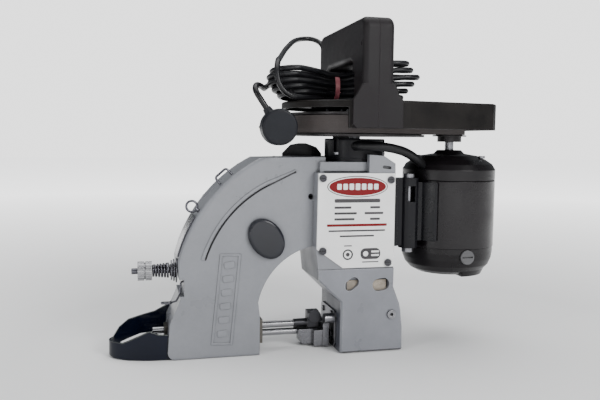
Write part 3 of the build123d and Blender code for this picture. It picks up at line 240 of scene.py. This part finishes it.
def surface(name, base, rough=0.4, metal=0.0, vary=0.12, vary_scale=28.0, tint=None, grain_scale=900.0,
            grain=0.08, grain_depth=0.00015, rough_vary=0.12, edge=0.0006, edge_wear_and_highlight=None, edge_wear_and_highlight_amount=0.6,
            specular=0.5, brushed=None, speck=None, coat=0.0, hollow_shade_and_grime=0.0, shade_throat=False):
    """Procedural finish: cloudy colour, mottled roughness, fine relief, rounded edges with wear and painted
    highlight along them, painted shade and grime in hollows, and painted shade on the throat faces.
    """
    mat = bpy.data.materials.new(name)
    mat.use_nodes = True
    nt = mat.node_tree
    shader = nt.nodes["Principled BSDF"]
    shader.inputs["Metallic"].default_value = metal
    shader.inputs["Specular IOR Level"].default_value = specular
    shader.inputs["Coat Weight"].default_value = coat
    shader.inputs["Coat Roughness"].default_value = 0.12
    place = nt.nodes.new("ShaderNodeTexCoord").outputs["Object"]
    cloud = texture(nt, "ShaderNodeTexNoise", place, Scale=vary_scale, Detail=4.0, Roughness=0.6)
    fine = texture(nt, "ShaderNodeTexNoise", place, Scale=grain_scale, Detail=3.0, Roughness=0.55)
    light = tint or shade(base, 1 + vary)
    colour = mix(nt, ramp(nt, cloud.outputs["Fac"], 0.35, 0.65, 0.0, 1.0), shade(base, 1 - vary), light)
    colour = mix(nt, ramp(nt, fine.outputs["Fac"], 0.3, 0.7, 0.0, grain * 2), colour, shade(base, 0.55))
    height = fine.outputs["Fac"]
    if brushed:
        stretch = nt.nodes.new("ShaderNodeMapping")
        nt.links.new(place, stretch.inputs["Vector"])
        stretch.inputs["Scale"].default_value = brushed
        lines = texture(nt, "ShaderNodeTexNoise", stretch.outputs["Vector"], Scale=1.0, Detail=5.0,
                        Roughness=0.7)
        colour = mix(nt, ramp(nt, lines.outputs["Fac"], 0.3, 0.7, 0.0, 0.45), colour, shade(base, 0.6))
        height = math_node(nt, "ADD", height, lines.outputs["Fac"])
    if speck:
        speck_scale, speck_amount, speck_colour = speck
        dots = texture(nt, "ShaderNodeTexVoronoi", place, Scale=speck_scale)
        near = ramp(nt, dots.outputs["Distance"], 0.05, 0.14, 1.0, 0.0)
        colour = mix(nt, math_node(nt, "MULTIPLY", near, speck_amount), colour, speck_colour)
    bevel = nt.nodes.new("ShaderNodeBevel")
    bevel.samples = 4
    bevel.inputs["Radius"].default_value = edge
    # Lighter colour along edges: wear, and on the glossy nose guard a painted highlight along its creases
    if edge_wear_and_highlight:
        flat = nt.nodes.new("ShaderNodeNewGeometry").outputs["Normal"]
        dot = nt.nodes.new("ShaderNodeVectorMath")
        dot.operation = "DOT_PRODUCT"
        nt.links.new(flat, dot.inputs[0])
        nt.links.new(bevel.outputs["Normal"], dot.inputs[1])
        rim = ramp(nt, dot.outputs["Value"], 0.97, 0.85, 0.0, 1.0)
        patchy = ramp(nt, cloud.outputs["Fac"], 0.42, 0.6, 0.25, 1.0)
        edge_mark = math_node(nt, "MULTIPLY", rim, patchy)
        colour = mix(nt, math_node(nt, "MULTIPLY", edge_mark, edge_wear_and_highlight_amount), colour, edge_wear_and_highlight)
    # Painted shade: faces that face left, low on the column, turn dark blue-black
    if shade_throat:
        colour = mix(nt, throat_painted_shade(nt, place), colour, THROAT_SHADE_COLOUR)
    # Painted shade and grime: colour darkens where ambient occlusion finds inner corners and hollows
    if hollow_shade_and_grime:
        hollow = nt.nodes.new("ShaderNodeAmbientOcclusion")
        hollow.samples = 6
        hollow.inputs["Distance"].default_value = SHADE_AND_GRIME_REACH
        shade_and_grime = ramp(nt, hollow.outputs["AO"], 0.2, 0.8, hollow_shade_and_grime, 0.0)
        colour = mix(nt, shade_and_grime, colour, SHADE_AND_GRIME_COLOUR)
    nt.links.new(colour, shader.inputs["Base Color"])
    nt.links.new(ramp(nt, cloud.outputs["Fac"], 0.3, 0.7, max(0.03, rough - rough_vary), rough + rough_vary),
                 shader.inputs["Roughness"])
    bump = nt.nodes.new("ShaderNodeBump")
    bump.inputs["Strength"].default_value = 0.5
    bump.inputs["Distance"].default_value = grain_depth
    nt.links.new(height, bump.inputs["Height"])
    nt.links.new(bevel.outputs["Normal"], bump.inputs["Normal"])
    nt.links.new(bump.outputs["Normal"], shader.inputs["Normal"])
    return mat


# Cast enamel with painted shade on its throat faces and painted shade with grime in its hollows
CAST = surface("cast_enamel", (0.215, 0.222, 0.242), rough=0.36, vary=0.06, grain_scale=420, grain=0.05,
               grain_depth=0.00012, edge=0.0012, edge_wear_and_highlight=(0.4, 0.41, 0.44), edge_wear_and_highlight_amount=0.55, coat=0.2,
               hollow_shade_and_grime=0.85, shade_throat=True)
COVER = surface("cover_enamel", (0.2, 0.207, 0.232), rough=0.34, vary=0.09, grain_scale=420, grain=0.05,
                grain_depth=0.0001, edge=0.001, edge_wear_and_highlight=(0.55, 0.56, 0.6), edge_wear_and_highlight_amount=0.95, coat=0.2,
                hollow_shade_and_grime=0.85)
DARK_PAINT = surface("black_enamel", (0.006, 0.006, 0.008), rough=0.32, vary=0.25, grain_scale=520,
                     grain=0.05, grain_depth=0.0001, edge=0.0008, edge_wear_and_highlight=(0.06, 0.06, 0.065),
                     edge_wear_and_highlight_amount=0.5, specular=0.2)
MOTOR_PAINT = surface("motor_enamel", (0.006, 0.0042, 0.0056), rough=0.26, vary=0.3,
                      tint=(0.008, 0.006, 0.0075), grain_scale=600, grain=0.08, grain_depth=0.00012,
                      edge=0.001, edge_wear_and_highlight=(0.05, 0.045, 0.05), specular=0.3)
GUARD_PAINT = surface("guard_enamel", (0.007, 0.006, 0.006), rough=0.42, vary=0.3,
                      tint=(0.012, 0.01, 0.009), grain_scale=700, grain=0.1, grain_depth=0.00012,
                      edge=0.0008, edge_wear_and_highlight=(0.16, 0.16, 0.165), edge_wear_and_highlight_amount=0.7, specular=0.14)
# The bright edge colour here is a painted highlight along the guard's creases
NOSE_PAINT = surface("nose_gloss", (0.002, 0.004, 0.012), rough=0.1, vary=0.2, grain_scale=200,
                     grain=0.05, grain_depth=0.00008, edge=0.0009, edge_wear_and_highlight=(0.34, 0.36, 0.31),
                     edge_wear_and_highlight_amount=1.0, rough_vary=0.04, specular=0.26)
GLOSS = surface("moulded_gloss", (0.007, 0.008, 0.013), rough=0.2, vary=0.2, grain_scale=300,
                grain=0.04, grain_depth=0.00006, edge=0.0014, rough_vary=0.05, specular=0.42)
PLASTIC = surface("textured_plastic", (0.006, 0.0046, 0.0056), rough=0.5, vary=0.2,
                  tint=(0.01, 0.0075, 0.009), grain_scale=1500, grain=0.2, grain_depth=0.00025,
                  edge=0.0012, edge_wear_and_highlight=(0.035, 0.03, 0.033), edge_wear_and_highlight_amount=0.6, specular=0.24)
CAP_PLASTIC = surface("cap_plastic", (0.006, 0.005, 0.006), rough=0.33, vary=0.25,
                      tint=(0.009, 0.0075, 0.0085), grain_scale=1100, grain=0.12, grain_depth=0.00018,
                      edge=0.001, edge_wear_and_highlight=(0.04, 0.038, 0.04), specular=0.28)
PLATE = surface("plate_enamel", (0.86, 0.86, 0.855), rough=0.34, vary=0.04, grain_scale=300, grain=0.02,
                grain_depth=0.00004, edge=0.0004, edge_wear_and_highlight=(0.45, 0.44, 0.42), edge_wear_and_highlight_amount=0.5, hollow_shade_and_grime=0.6)
BRIGHT = surface("bright_steel", (0.4, 0.4, 0.415), rough=0.2, metal=1.0, vary=0.15, grain_scale=700,
                 grain=0.15, edge=0.0004, edge_wear_and_highlight=(0.9, 0.9, 0.9), brushed=(60, 900, 900),
                 grain_depth=0.00005, rough_vary=0.07, hollow_shade_and_grime=0.95)
STEEL = surface("machined_steel", (0.3, 0.3, 0.32), rough=0.32, metal=1.0, vary=0.2, grain_scale=500,
                grain=0.2, edge=0.0006, edge_wear_and_highlight=(0.8, 0.8, 0.8), brushed=(120, 700, 120), grain_depth=0.0001,
                speck=(300, 0.35, (0.2, 0.17, 0.14)), hollow_shade_and_grime=0.95)
DARK_STEEL = surface("black_steel", (0.06, 0.06, 0.066), rough=0.38, metal=0.9, vary=0.25,
                     grain_scale=800, grain=0.15, edge=0.0005, edge_wear_and_highlight=(0.32, 0.32, 0.33), edge_wear_and_highlight_amount=0.7,
                     grain_depth=0.0001, hollow_shade_and_grime=0.8)
PULLEY = surface("pulley_iron", (0.035, 0.033, 0.034), rough=0.35, metal=0.85, vary=0.2,
                 grain_scale=600, grain=0.1, edge=0.0006, edge_wear_and_highlight=(0.4, 0.39, 0.38), edge_wear_and_highlight_amount=0.6,
                 brushed=(80, 80, 1400), grain_depth=0.00008, hollow_shade_and_grime=0.8)
BRONZE = surface("sintered_bronze", (0.15, 0.14, 0.125), rough=0.42, metal=0.9, vary=0.2,
                 grain_scale=1500, grain=0.3, edge=0.0005, edge_wear_and_highlight=(0.42, 0.4, 0.36), grain_depth=0.0002,
                 hollow_shade_and_grime=0.9)
BLUED = surface("blued_steel", (0.11, 0.11, 0.125), rough=0.24, metal=1.0, vary=0.2, grain_scale=700,
                grain=0.12, edge=0.0005, edge_wear_and_highlight=(0.6, 0.6, 0.62), edge_wear_and_highlight_amount=0.8, grain_depth=0.00006,
                rough_vary=0.08, hollow_shade_and_grime=0.95)
FELT = surface("oiled_felt", (0.46, 0.4, 0.33), rough=0.85, vary=0.3, vary_scale=160, grain_scale=2200,
               grain=0.4, grain_depth=0.0006, edge=0.0006, specular=0.25, hollow_shade_and_grime=0.6)
ALLOY = surface("turned_alloy", (0.42, 0.42, 0.43), rough=0.3, metal=1.0, vary=0.1, grain_scale=600,
                grain=0.1, edge=0.0006, edge_wear_and_highlight=(0.8, 0.8, 0.8), brushed=(80, 80, 1400),
                grain_depth=0.00008, hollow_shade_and_grime=0.9)
IRON = surface("laminated_iron", (0.2, 0.2, 0.21), rough=0.45, metal=0.9, vary=0.15, grain_scale=500,
               grain=0.15, edge=0.0004, brushed=(30, 30, 2000), grain_depth=0.00012)
CARBON = surface("brush_carbon", (0.1, 0.1, 0.105), rough=0.42, vary=0.25, grain_scale=1200, grain=0.2,
                 edge=0.0006, edge_wear_and_highlight=(0.3, 0.3, 0.3), hollow_shade_and_grime=0.7)
BELT = surface("belt_rubber", (0.06, 0.05, 0.048), rough=0.62, vary=0.25, grain_scale=1300, grain=0.3,
               grain_depth=0.0003, edge=0.0006, brushed=(30, 30, 500), speck=(420, 0.4, (0.07, 0.06, 0.055)),
               specular=0.3)
CORD = surface("cord_rubber", (0.006, 0.006, 0.0075), rough=0.33, vary=0.25, vary_scale=45,
               grain_scale=1500, grain=0.12, grain_depth=0.00012, edge=0.0004, specular=0.3, hollow_shade_and_grime=0.8)
LEAD = surface("lead_rubber", (0.006, 0.006, 0.007), rough=0.42, vary=0.25, grain_scale=1400,
               grain=0.14, grain_depth=0.00015, edge=0.0008, specular=0.3)
PLUG = surface("plug_rubber", (0.008, 0.009, 0.0125), rough=0.42, vary=0.25, grain_scale=1400,
               grain=0.14, grain_depth=0.00015, edge=0.0012, edge_wear_and_highlight=(0.06, 0.065, 0.075), edge_wear_and_highlight_amount=0.7,
               specular=0.2)
TIE = surface("tie_vinyl", (0.34, 0.09, 0.115), rough=0.38, vary=0.2, vary_scale=160, grain_scale=1500,
              grain=0.15, grain_depth=0.0002, edge=0.0004, tint=(0.42, 0.17, 0.18), hollow_shade_and_grime=0.6)
BRASS = surface("plated_brass", (0.6, 0.55, 0.42), rough=0.24, metal=1.0, vary=0.1, grain_scale=700,
                grain=0.08, edge=0.0005, edge_wear_and_highlight=(0.75, 0.6, 0.35), grain_depth=0.00006)
PRINT_RED = surface("print_red", (0.17, 0.001, 0.004), rough=0.42, vary=0.12, grain_scale=600,
                    grain=0.06, edge=0.0002, grain_depth=0.00003, specular=0.25)
PRINT_DARK = surface("print_dark", (0.035, 0.032, 0.035), rough=0.4, vary=0.25, grain_scale=900,
                     grain=0.2, edge=0.0002, grain_depth=0.00003)
PRINT_WHITE = surface("print_white", (0.86, 0.86, 0.85), rough=0.35, vary=0.04, grain_scale=600,
                      grain=0.04, edge=0.0002, grain_depth=0.00003)

NODE_LOOKS = {
    CAST: ["main_frame", "rear_cover"],
    COVER: ["looper_cover"],
    DARK_PAINT: ["thread_stand_bracket", "handle_bracket", "neck_housing", "motor_bracket"],
    MOTOR_PAINT: ["motor_housing"],
    GUARD_PAINT: ["belt_guard"],
    NOSE_PAINT: ["nose_guard"],
    GLOSS: ["access_cap"],
    PLASTIC: ["handle_left_shell", "handle_right_shell", "switch_body", "switch_trigger"],
    CAP_PLASTIC: ["motor_top_cap", "motor_bottom_cap"],
    PLATE: ["name_plate"],
    BRIGHT: ["looper", "ball_bearings", "needle_bar", "needle", "presser_bar", "tension_nut"],
    BLUED: ["thread_fittings", "tension_post", "tension_spring"],
    STEEL: ["throat_plate", "fixed_pins", "feed_dog", "main_shaft", "shaft_cams", "connecting_rod",
            "needle_lever", "needle_bar_driver", "presser_foot", "presser_spring", "presser_lifter",
            "machine_screws", "motor_shaft", "socket_screws"],
    DARK_STEEL: ["needle_clamp", "name_plate_screws", "handle_screws"],
    BRONZE: ["bar_guides"],
    FELT: ["oil_wick_pads"],
    ALLOY: ["eccentric_strap"],
    PULLEY: ["drive_pulley", "motor_pulley"],
    IRON: ["motor_stator", "armature"],
    CARBON: ["motor_brushes"],
    BELT: ["drive_belt"],
    CORD: ["mains_cord", "cord_hank"],
    LEAD: ["motor_lead", "strain_relief"],
    PLUG: ["mains_plug"],
    TIE: ["cord_tie"],
    BRASS: ["plug_pins"],
}


def dress(piece, mat):
    """Give all of a piece's slots one material."""
    if not piece.material_slots:
        piece.data.materials.append(None)
    for s in piece.material_slots:
        s.link = "OBJECT"
        s.material = mat


for mat, names in NODE_LOOKS.items():
    for name in names:
        dress(nodes[name], mat)
dress(mains_lead, CORD)


# ---------------------------------------------------------------- helpers for new pieces
def add_mesh(name, bm, mat, body):
    """Turn bm into a new piece that rides body."""
    data = bpy.data.meshes.new(name)
    bm.normal_update()
    bm.to_mesh(data)
    bm.free()
    piece = bpy.data.objects.new(name, data)
    bpy.context.scene.collection.objects.link(piece)
    dress(piece, mat)
    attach(piece, body)
    return piece


def tube_along(bm, points, radius, sides=10, closed=False):
    """Skin a round wire along points in metres."""
    rings, last = [], None
    count = len(points)
    for i, p in enumerate(points):
        ahead = points[(i + 1) % count] if closed or i + 1 < count else p
        behind = points[i - 1] if closed or i else p
        way = (Vector(ahead) - Vector(behind)).normalized()
        side = (last - way * last.dot(way)).normalized() if last else way.orthogonal().normalized()
        last = side
        up = way.cross(side)
        ring = []
        for k in range(sides):
            a = 2 * math.pi * k / sides
            ring.append(bm.verts.new(Vector(p) + (side * math.cos(a) + up * math.sin(a)) * radius))
        rings.append(ring)
    pairs = list(zip(rings, rings[1:])) + ([(rings[-1], rings[0])] if closed else [])
    for a, b in pairs:
        for k in range(sides):
            face = bm.faces.new((a[k], a[(k + 1) % sides], b[(k + 1) % sides], b[k]))
            face.smooth = True
    if not closed:
        bm.faces.new(rings[0][::-1])
        bm.faces.new(rings[-1])


def coil_spring(name, x0, x1, centre, r0, r1, wire, turns, mat, body, slot, steps=28):
    """Compression spring along X with closed ends. Its radius goes from r0 to r1, and wire is a radius."""
    points = []
    total = int(turns * steps)
    for i in range(total + 1):
        t = i / total
        s = min(1.0, max(0.0, (t - 0.75 / turns) / (1 - 1.5 / turns)))
        x = x0 + wire + (x1 - x0 - 2 * wire) * (0.08 * t + 0.92 * s)
        r = r0 + (r1 - r0) * s
        a = 2 * math.pi * t * turns
        points.append((x, centre[0] + r * math.cos(a), centre[1] + r * math.sin(a)))
    bm = bmesh.new()
    tube_along(bm, points, wire)
    return add_mesh(name, bm, mat, body)


# ---------------------------------------------------------------- springs
PRESSER_COIL_X = (-0.1637, -0.1512)
PRESSER_BAR_Z = 0.0124
presser_coil = coil_spring("presser_coil", *PRESSER_COIL_X, (0.0, PRESSER_BAR_Z), 0.0034, 0.0034, 0.00037,
                           6.5, STEEL, "machine", "steel")
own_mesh(presser_coil)
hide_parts("presser_spring")
TENSION_COIL_X = (-0.186, -0.172)
TENSION_AXIS = (-0.012, 0.074)
tension_coil = coil_spring("tension_coil", *TENSION_COIL_X, TENSION_AXIS, 0.0044, 0.0057, 0.00088, 6.5, BLUED,
                           "machine", "bright_steel")
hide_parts("tension_spring")


# ---------------------------------------------------------------- printed plate
PLATE_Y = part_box("name_plate")[0].y
INK = 0.00012            # thickness of one printed layer, in metres


def rounded(cx, cz, w, h, r, steps=8):
    """Outline of a rounded rectangle in the plate's plane, in millimetres."""
    outline = []
    for sx, sz, a0 in ((1, 1, 0), (-1, 1, 90), (-1, -1, 180), (1, -1, 270)):
        for i in range(steps + 1):
            a = math.radians(a0 + 90 * i / steps)
            outline.append((cx + sx * (w / 2 - r) + r * math.cos(a), cz + sz * (h / 2 - r) + r * math.sin(a)))
    return outline


def ink_area(bm, outline, y_face):
    """One thin printed area standing proud of y_face."""
    rows = []
    for y in (y_face, y_face - INK):
        rows.append([bm.verts.new((x * MM, y, z * MM)) for x, z in outline])
    bm.faces.new(rows[1])
    count = len(outline)
    for i in range(count):
        bm.faces.new((rows[0][i], rows[0][(i + 1) % count], rows[1][(i + 1) % count], rows[1][i]))


def ink_line(bm, points, width, y_face):
    """A printed line of even width along points."""
    for (x0, z0), (x1, z1) in zip(points, points[1:]):
        d = Vector((x1 - x0, z1 - z0)).normalized() * width / 2
        ink_area(bm, [(x0 - d.x - d.y, z0 - d.y + d.x), (x0 - d.x + d.y, z0 - d.y - d.x),
                      (x1 + d.x + d.y, z1 + d.y - d.x), (x1 + d.x - d.y, z1 + d.y + d.x)], y_face)


def ring_points(cx, cz, r, a0, a1, steps=22):
    """Points along an arc from a0 to a1 degrees."""
    return [(cx + r * math.cos(math.radians(a0 + (a1 - a0) * i / steps)),
             cz + r * math.sin(math.radians(a0 + (a1 - a0) * i / steps))) for i in range(steps + 1)]


def ellipse(cx, cz, a, b, steps=64):
    """Outline of an ellipse with half axes a and b."""
    return [(cx + a * math.cos(2 * math.pi * i / steps), cz + b * math.sin(2 * math.pi * i / steps))
            for i in range(steps)]


PLATE_MID = -14.5        # X of the plate's middle line
OVAL_Z = 145.2
RING_AT = (-22.5, 86.8)
BADGE_AT = (-2, 87.2)


def printed_plate():
    """Oval with a row of blocks, plain bars in place of lines of print, a ring and a badge."""
    dark, red, white = bmesh.new(), bmesh.new(), bmesh.new()
    for layer, (ink, a, b) in enumerate(((dark, 27.2, 9.2), (white, 26.4, 8.5), (red, 25.4, 7.6))):
        ink_area(ink, ellipse(PLATE_MID, OVAL_Z, a, b), PLATE_Y - layer * INK)
    for i in range(-3, 4):
        block = rounded(PLATE_MID + 5.5 * i, OVAL_Z, 4.0, 5.6 - 0.25 * abs(i), 0.8, 3)
        ink_area(white, block, PLATE_Y - 3 * INK)
    bars = [(133.2, -35, 6, 3.2), (127.4, -35, -20, 1.9), (127.4, -3, 6, 1.9), (122.4, -35, -15, 1.9),
            (122.4, -8, 9, 1.9), (117.4, -35, -17, 1.9), (117.4, -3, 6, 1.9), (107.4, -40, 11, 1.4),
            (102.8, -30, 1, 1.4)]
    for z, x0, x1, h in bars:
        ink_area(dark, rounded((x0 + x1) / 2, z, x1 - x0, h, h * 0.3, 3), PLATE_Y)
    ink_area(red, rounded(PLATE_MID, 112.2, 54, 2.2, 0.6, 3), PLATE_Y)
    ink_line(dark, ring_points(*RING_AT, 4.0, 0, 360), 1.1, PLATE_Y)
    ink_area(dark, ellipse(*RING_AT, 1.7, 1.7, 24), PLATE_Y)
    ink_area(dark, rounded(*BADGE_AT, 18, 9.6, 4.2), PLATE_Y)
    ink_area(white, ellipse(BADGE_AT[0] - 4.4, BADGE_AT[1], 2.3, 2.3, 24), PLATE_Y - INK)
    for z in (89.0, 85.8):
        ink_area(white, rounded(BADGE_AT[0] + 4.2, z, 7, 1.6, 0.4, 3), PLATE_Y - INK)
    ink_area(dark, rounded(RING_AT[0], 94.4, 7, 0.9, 0.3, 3), PLATE_Y)
    ink_area(dark, rounded(BADGE_AT[0], 80.0, 15, 0.9, 0.3, 3), PLATE_Y)
    for name, bm, mat in (("plate_print_dark", dark, PRINT_DARK), ("plate_print_red", red, PRINT_RED),
                          ("plate_print_white", white, PRINT_WHITE)):
        add_mesh(name, bm, mat, "machine")


printed_plate()

# ---------------------------------------------------------------- painted shadow in the groove beside the arch's rib
GROOVE_Y = -24.0         # floor of the groove
GROOVE_CENTRE, GROOVE_R, GROOVE_SPAN = (-44.0, 53.0), 103.5, (163, 116)
GROOVE_END = (-66.0, 157.5)
GROOVE_W = 1.3


def painted_rib_shadow():
    """Painted shadow: a dark strip lying in the groove along the outer curve of the arch."""
    points = ring_points(*GROOVE_CENTRE, GROOVE_R, *GROOVE_SPAN, 40) + [GROOVE_END]
    bm = bmesh.new()
    ink_line(bm, points, GROOVE_W, GROOVE_Y * MM)
    # A painted shadow in the dark print colour
    add_mesh("painted_rib_shadow", bm, PRINT_DARK, "machine")


painted_rib_shadow()


# ---------------------------------------------------------------- stage and light
def area_light(name, at, target, size, power, size_y=None):
    """A white softbox at a place, turned to its target."""
    data = bpy.data.lights.new(name, "AREA")
    data.energy, data.size = power, size
    if size_y:
        data.shape, data.size_y = "RECTANGLE", size_y
    light = bpy.data.objects.new(name, data)
    way = Vector(target) - Vector(at)
    light.location = at
    light.rotation_euler = way.to_track_quat("-Z", "Y").to_euler()
    bpy.context.scene.collection.objects.link(light)


MIDDLE = (-0.04, 0.0, 0.14)
area_light("key_softbox", (0.75, -1.45, 0.95), MIDDLE, 0.7, 21.0)
area_light("front_fill", (-0.35, -1.9, 0.5), MIDDLE, 1.5, 9.0)
area_light("left_strip", (-1.3, -0.75, 0.55), MIDDLE, 0.14, 5.0, size_y=1.3)
area_light("overhead", (0.0, 0.4, 2.2), (0, 0.4, 0), 2.6, 50.0)


def make_world():
    """White behind the object, with a dimmer room for light and reflections."""
    world = bpy.data.worlds.new("studio")
    world.use_nodes = True
    nt = world.node_tree
    room = nt.nodes["Background"]
    room.inputs["Color"].default_value = (0.9, 0.95, 1.0, 1.0)
    room.inputs["Strength"].default_value = 0.2
    white = nt.nodes.new("ShaderNodeBackground")
    white.inputs["Strength"].default_value = 2.2
    white.inputs["Color"].default_value = (1.0, 1.0, 1.0, 1.0)
    choose = nt.nodes.new("ShaderNodeMixShader")
    nt.links.new(nt.nodes.new("ShaderNodeLightPath").outputs["Is Camera Ray"], choose.inputs["Fac"])
    nt.links.new(room.outputs[0], choose.inputs[1])
    nt.links.new(white.outputs[0], choose.inputs[2])
    nt.links.new(choose.outputs[0], nt.nodes["World Output"].inputs["Surface"])
    bpy.context.scene.world = world


make_world()


FLOOR_HALF = 6.0
FLOOR_DROP = 0.0004      # keeps the floor just below the feet
GLOW_FROM, GLOW_TO, GLOW = 0.3, 1.8, 1.95


def make_floor():
    """Pale paper that grows brighter away from the object, until it meets the background."""
    bm = bmesh.new()
    bmesh.ops.create_grid(bm, x_segments=24, y_segments=24, size=FLOOR_HALF)
    data = bpy.data.meshes.new("floor")
    bm.to_mesh(data)
    bm.free()
    floor = bpy.data.objects.new("floor", data)
    floor.location.z = -FLOOR_DROP
    bpy.context.scene.collection.objects.link(floor)
    mat = bpy.data.materials.new("floor_paper")
    mat.use_nodes = True
    nt = mat.node_tree
    shader = nt.nodes["Principled BSDF"]
    shader.inputs["Base Color"].default_value = (0.9, 0.9, 0.9, 1)
    shader.inputs["Roughness"].default_value = 0.95
    shader.inputs["Specular IOR Level"].default_value = 0.1
    shader.inputs["Emission Color"].default_value = (1, 1, 1, 1)
    place = nt.nodes.new("ShaderNodeTexCoord").outputs["Object"]
    away = nt.nodes.new("ShaderNodeVectorMath")
    away.operation = "LENGTH"
    nt.links.new(place, away.inputs[0])
    glow = ramp(nt, away.outputs["Value"], GLOW_FROM, GLOW_TO, 0.0, GLOW)
    nt.links.new(glow, shader.inputs["Emission Strength"])
    data.materials.append(mat)


make_floor()
